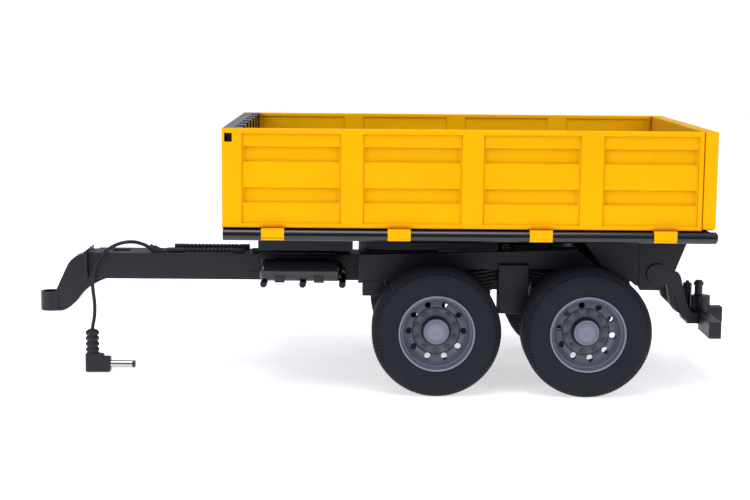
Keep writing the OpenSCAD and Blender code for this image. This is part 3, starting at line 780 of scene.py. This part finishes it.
def build_cord():
    line = bpy.data.curves.new("power_lead", "CURVE")
    line.dimensions = "3D"
    line.bevel_depth = sizes().cord_diameter / 2
    line.bevel_resolution = 5
    line.resolution_u = 8
    line.use_fill_caps = True
    spline = line.splines.new("BEZIER")
    spline.bezier_points.add(len(CORD_ROUTE) - 1)
    route = [Vector(p) * MM for p in CORD_ROUTE]
    for i, point in enumerate(spline.bezier_points):
        before, after = route[max(i - 1, 0)], route[min(i + 1, len(route) - 1)]
        lean = (after - before) / 6 if 0 < i < len(route) - 1 else (after - before) / 3
        point.co = route[i]
        point.handle_left_type = point.handle_right_type = "FREE"
        point.handle_left, point.handle_right = route[i] - lean, route[i] + lean
    lead = bpy.data.objects.new("power_lead", line)
    bpy.context.scene.collection.objects.link(lead)
    line.materials.append(soft_black())
    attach(lead, "chassis")
    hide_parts("power_cord")
    return lead


def plug_body_mesh():
    """Moulded right-angle plug: a ribbed neck over an elbow that steps down to the sleeve."""
    low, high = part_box("plug_body")
    centre_x, y = low.x + 3.25 * MM, (low.y + high.y) / 2
    parts = []
    for x0, x1, half_y, z0, z1 in ((-3.1, 3.1, 3.1, 0.3, 9.4), (0.2, 5.3, 2.95, 0.3, 8.8),
                                   (1.0, 8.6, 2.8, 0.3, 7.5)):
        centre = (centre_x + (x0 + x1) / 2 * MM, y, (z0 + z1) / 2 * MM)
        size = ((x1 - x0) * MM, 2 * half_y * MM, (z1 - z0) * MM)
        parts.append(block("elbow", centre, size, 0.8 * MM, 4))
    neck = [(1e-5, 8.6), (2.75, 8.6)]
    for base in (9.9, 12.6, 15.3, 18.0):
        neck += [(2.55, base), (3.05, base + 0.25), (3.2, base + 0.6), (3.2, base + 1.35), (3.05, base + 1.7),
                 (2.55, base + 1.95)]
    neck += [(2.3, 20.2), (1.9, 20.5), (1e-5, 20.5)]
    tube = revolved([(r * MM, z * MM) for r, z in neck], 40, "neck")
    parts.append(moved(tube, Matrix.Translation((centre_x, y, 0))))
    for side in (-1, 1):
        centre = (centre_x, y + side * 2.2 * MM, 14.6 * MM)
        parts.append(block("web", centre, (1.1 * MM, 1.6 * MM, 10.6 * MM), 0.3 * MM, 2))
    return joined(parts, "plug_elbow")


def plug_tip_mesh():
    """The insulating ring at the end of the plug's sleeve, with its bore."""
    low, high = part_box("plug_tip")
    reach, radius = high.x - low.x, (high.z - low.z) / 2
    outline = [(1e-5, 0), (radius, 0), (radius, reach - 0.25 * MM), (radius - 0.25 * MM, reach),
               (0.9 * MM, reach), (0.75 * MM, reach - 0.15 * MM), (0.75 * MM, 0.3 * MM), (1e-5, 0.3 * MM)]
    ring = revolved(outline, 40, "plug_tip")
    place = Matrix.Translation((low.x, (low.y + high.y) / 2, (low.z + high.z) / 2))
    return moved(ring, place @ Matrix.Rotation(math.pi / 2, 4, "Y"))


def build_power_lead():
    lead = build_cord()
    elbow = piece("plug_elbow", plug_body_mesh(), "chassis", "soft_black", ["plug_body"])
    sleeve = rounded_node("plug_sleeve", 0.1 * MM)
    tip = piece("plug_tip_moulded", plug_tip_mesh(), "chassis", "gloss_black", ["plug_tip"])
    gland = rounded_node("cord_gland", 0.25 * MM)


# Hoses and tanks

def hose_piece(name, node, ribbed, body="chassis"):
    """A hose with plain ends, a thinner core and round ribs along its middle."""
    low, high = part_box(node)
    y = (low.y + high.y) / 2
    z = high.z - 1.3 * MM
    ends = [(low.x, BOX_FRONT + ribbed[0] * MM), (BOX_FRONT + ribbed[1] * MM, high.x)]
    parts = []
    for start, end in ends:
        outline = [(1e-5, 0), (0.9 * MM, 0), (1.15 * MM, 0.25 * MM), (1.15 * MM, end - start - 0.25 * MM),
                   (0.95 * MM, end - start), (1e-5, end - start)]
        along = Matrix.Translation((start, y, z)) @ Matrix.Rotation(math.pi / 2, 4, "Y")
        parts.append(moved(revolved(outline, 24), along))
    middle = ends[1][0] - ends[0][1]
    core = revolved([(1e-5, 0), (0.95 * MM, 0), (0.95 * MM, middle), (1e-5, middle)], 24)
    parts.append(moved(core, Matrix.Translation((ends[0][1], y, z)) @ Matrix.Rotation(math.pi / 2, 4, "Y")))
    parts.append(hose_ribs(ends[0][1], ends[1][0], y, z, 1.3 * MM, sizes().hose_rib_pitch, name + "_ribs"))
    for start, end in ends:
        centre = ((start + end) / 2, y, low.z + 0.3 * MM)
        parts.append(block("foot", centre, ((end - start) * 0.8, 1.5 * MM, 0.9 * MM)))
    return piece(name, joined(parts, name), body, "soft_black", [node], weighted=False)


def build_hoses():
    hose_piece("hose_front_ribbed", "brake_hose_front", (-22.9, -0.5))
    hose_piece("hose_rear_ribbed", "brake_hose_rear", (12.8, 48.4))
    hose_piece("hose_supply_ribbed", "supply_hose", (-22, 2.2))


def build_tanks():
    low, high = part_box("air_tanks")
    radius = (high.z - low.z) / 2
    outline = [(1e-5, 0), (1.9, 0.05), (3.4, 0.35), (4.5, 0.95), (5.05, 1.7), (5.25, 2.6), (5.25, 36.0),
               (5.05, 36.9), (4.5, 37.6), (3.4, 38.15), (1.7, 38.4), (1.6, 38.5), (1.6, 39.5), (1.35, 39.8),
               (1e-5, 39.8)]
    parts = []
    for side in (-1, 1):
        tank = revolved([(r * MM, z * MM) for r, z in outline], 64)
        y = side * (high.y - radius)
        place = Matrix.Translation((low.x, y, low.z + radius))
        parts.append(moved(tank, place @ Matrix.Rotation(math.pi / 2, 4, "Y")))
    piece("air_tanks_domed", joined(parts, "air_tanks_domed"), "chassis", "gloss_black", ["air_tanks"])
    rounded_node("tank_straps", 0.12 * MM).data.materials[0] = gloss_black()
    rounded_node("tank_shelves", 0.3 * MM)


# Operators, one for each group of pieces

class TRAILER_OT_stage(bpy.types.Operator):
    """Makes the camera, the pale floor, the soft lights and the white surroundings"""
    bl_idname = "trailer.stage"
    bl_label = "Stage"

    def execute(self, context):
        scene = context.scene
        scene.view_settings.view_transform = "Standard"
        lens = bpy.data.cameras.new("camera")
        lens.sensor_width = 36
        lens.lens = LENS
        lens.clip_start, lens.clip_end = 0.01, 50
        camera = bpy.data.objects.new("camera", lens)
        camera.location = CAMERA_AT
        camera.rotation_euler = Euler(CAMERA_TURN)
        scene.collection.objects.link(camera)
        scene.camera = camera
        ground = bmesh.new()
        bmesh.ops.create_grid(ground, x_segments=1, y_segments=1, size=FLOOR_SIZE / 2)
        bmesh.ops.translate(ground, verts=ground.verts, vec=(0, FLOOR_SIZE / 2 - FLOOR_FRONT, 0))
        floor = bpy.data.objects.new("floor", mesh_from(ground, "floor"))
        scene.collection.objects.link(floor)
        floor.data.materials.append(self.floor_material())
        self.lights(scene)
        self.surroundings(scene)
        return {"FINISHED"}

    def floor_material(self):
        material = bpy.data.materials.new("pale_floor")
        material.use_nodes = True
        surface = material.node_tree.nodes["Principled BSDF"]
        surface.inputs["Base Color"].default_value = (0.9, 0.9, 0.91, 1)
        surface.inputs["Roughness"].default_value = 0.9
        surface.inputs["Specular IOR Level"].default_value = 0.1
        surface.inputs["Emission Color"].default_value = (1, 1, 1, 1)
        surface.inputs["Emission Strength"].default_value = 0.58
        return material

    def lights(self, scene):
        for name, place, size, power in (
                ("top_light", (-0.1, -0.35, 1.2), 0.7, 6.5), ("left_light", (-0.95, -1.05, 0.55), 0.7, 7),
                ("right_light", (1.0, -1.05, 0.65), 0.7, 6.5)):
            panel = bpy.data.lights.new(name, "AREA")
            panel.shape, panel.size, panel.energy = "SQUARE", size, power
            lamp = bpy.data.objects.new(name, panel)
            lamp.location = place
            lamp.rotation_euler = (Vector((0, 0, 0.05)) - Vector(place)).to_track_quat("-Z", "Y").to_euler()
            scene.collection.objects.link(lamp)

    def surroundings(self, scene):
        world = bpy.data.worlds.new("surroundings")
        world.use_nodes = True
        scene.world = world
        tree = world.node_tree
        tree.nodes.clear()
        out = tree.nodes.new("ShaderNodeOutputWorld")
        mix = tree.nodes.new("ShaderNodeMixShader")
        seen = shader(tree, "ShaderNodeBackground", Color=(1, 1, 1, 1), Strength=1.1)
        lit = shader(tree, "ShaderNodeBackground", Color=(0.80, 0.85, 1.0, 1))
        way = tree.nodes.new("ShaderNodeTexCoord")
        split = tree.nodes.new("ShaderNodeSeparateXYZ")
        tree.links.new(way.outputs["Generated"], split.inputs[0])
        behind = mapped(tree, split.outputs["Y"], 0.14, 0.5, -0.3, 0.3)
        above = mapped(tree, split.outputs["Z"], 0.0, 0.8, 0.3, 0.9)
        brighter = shader(tree, "ShaderNodeMath", operation="MAXIMUM")
        tree.links.new(behind, brighter.inputs[0])
        tree.links.new(above, brighter.inputs[1])
        tree.links.new(brighter.outputs[0], lit.inputs["Strength"])
        path = tree.nodes.new("ShaderNodeLightPath")
        tree.links.new(path.outputs["Is Camera Ray"], mix.inputs["Fac"])
        tree.links.new(lit.outputs[0], mix.inputs[1])
        tree.links.new(seen.outputs[0], mix.inputs[2])
        tree.links.new(mix.outputs[0], out.inputs["Surface"])


class TRAILER_OT_power_lead(bpy.types.Operator):
    """Makes the power lead, its gland and its right-angle plug"""
    bl_idname = "trailer.power_lead"
    bl_label = "Power lead"

    def execute(self, context):
        build_power_lead()
        return {"FINISHED"}


class TRAILER_OT_boards(bpy.types.Operator):
    """Makes the yellow drop sides and tailgate with their windows and hinge clips"""
    bl_idname = "trailer.boards"
    bl_label = "Drop sides and tailgate"

    def execute(self, context):
        build_side_panel("side_panel_left", -1)
        build_side_panel("side_panel_right", 1)
        build_tailgate()
        return {"FINISHED"}


class TRAILER_OT_bed(bpy.types.Operator):
    """Makes the black front wall, floor, hinge tubes and the frame under the bed"""
    bl_idname = "trailer.bed"
    bl_label = "Tipping bed"

    def execute(self, context):
        for node in ("front_wall", "hinge_tubes", "tailgate_rod", "bed_floor", "bed_rails",
                     "bed_crossmembers", "roller_track", "pivot_brackets", "pivot_caps"):
            rounded_node(node)
        return {"FINISHED"}


class TRAILER_OT_wheels(bpy.types.Operator):
    """Makes the four tyres, rims, nuts and hub caps"""
    bl_idname = "trailer.wheels"
    bl_label = "Wheels"

    def execute(self, context):
        build_wheels()
        return {"FINISHED"}


class TRAILER_OT_drawbar(bpy.types.Operator):
    """Makes the drawbar, its end plate and the towing eye, with the hoses and tanks on it"""
    bl_idname = "trailer.drawbar"
    bl_label = "Drawbar"

    def execute(self, context):
        for node in ("drawbar_beam", "drawbar_end_plate", "drawbar_eye"):
            rounded_node(node)
        build_hoses()
        build_tanks()
        return {"FINISHED"}


class TRAILER_OT_chassis(bpy.types.Operator):
    """Makes the frame, springs, axles and lift drive"""
    bl_idname = "trailer.chassis"
    bl_label = "Chassis"

    def execute(self, context):
        for node in ("frame_rails", "frame_crossmembers", "side_plate_left", "side_plate_right",
                     "leaf_springs", "spring_hangers", "spring_brackets", "axle_beams", "axle_rods",
                     "gearbox_case", "lift_motor", "lift_pedestals", "gearbox_screws", "lift_shaft",
                     "lift_roller"):
            rounded_node(node)
        # painted light: the lift arm takes the lighter grey that makes it look lit
        rounded_node("lift_arm").data.materials[0] = lit_lift_grey()
        return {"FINISHED"}


class TRAILER_OT_coupling(bpy.types.Operator):
    """Makes the rear coupling behind the box"""
    bl_idname = "trailer.coupling"
    bl_label = "Rear coupling"

    def execute(self, context):
        for node in ("pivot_shaft", "hitch_arms", "hitch_crossbar", "hitch_head", "hitch_post", "hitch_pin"):
            rounded_node(node)
        return {"FINISHED"}


OPERATORS = (TRAILER_OT_stage, TRAILER_OT_power_lead, TRAILER_OT_boards, TRAILER_OT_bed, TRAILER_OT_wheels,
             TRAILER_OT_drawbar, TRAILER_OT_chassis, TRAILER_OT_coupling)


class TRAILER_PT_panel(bpy.types.Panel):
    """Lists the trailer's operators, sizes and colours"""
    bl_label = "Trailer"
    bl_idname = "TRAILER_PT_panel"
    bl_space_type = "VIEW_3D"
    bl_region_type = "UI"
    bl_category = "Trailer"

    def draw(self, context):
        for operator in OPERATORS:
            self.layout.operator(operator.bl_idname)
        for group in (context.scene.trailer_sizes, context.scene.trailer_colours):
            for name in group.__annotations__:
                self.layout.prop(group, name)


CLASSES = (TrailerSizes, TrailerColours, *OPERATORS, TRAILER_PT_panel)


def register():
    for made in CLASSES:
        bpy.utils.register_class(made)
    bpy.types.Scene.trailer_sizes = PointerProperty(type=TrailerSizes)
    bpy.types.Scene.trailer_colours = PointerProperty(type=TrailerColours)


def unregister():
    del bpy.types.Scene.trailer_sizes
    del bpy.types.Scene.trailer_colours
    for made in reversed(CLASSES):
        bpy.utils.unregister_class(made)


def main():
    register()
    for operator in OPERATORS:
        group, call = operator.bl_idname.split(".")
        getattr(getattr(bpy.ops, group), call)()


if __name__ == "__main__":
    main()
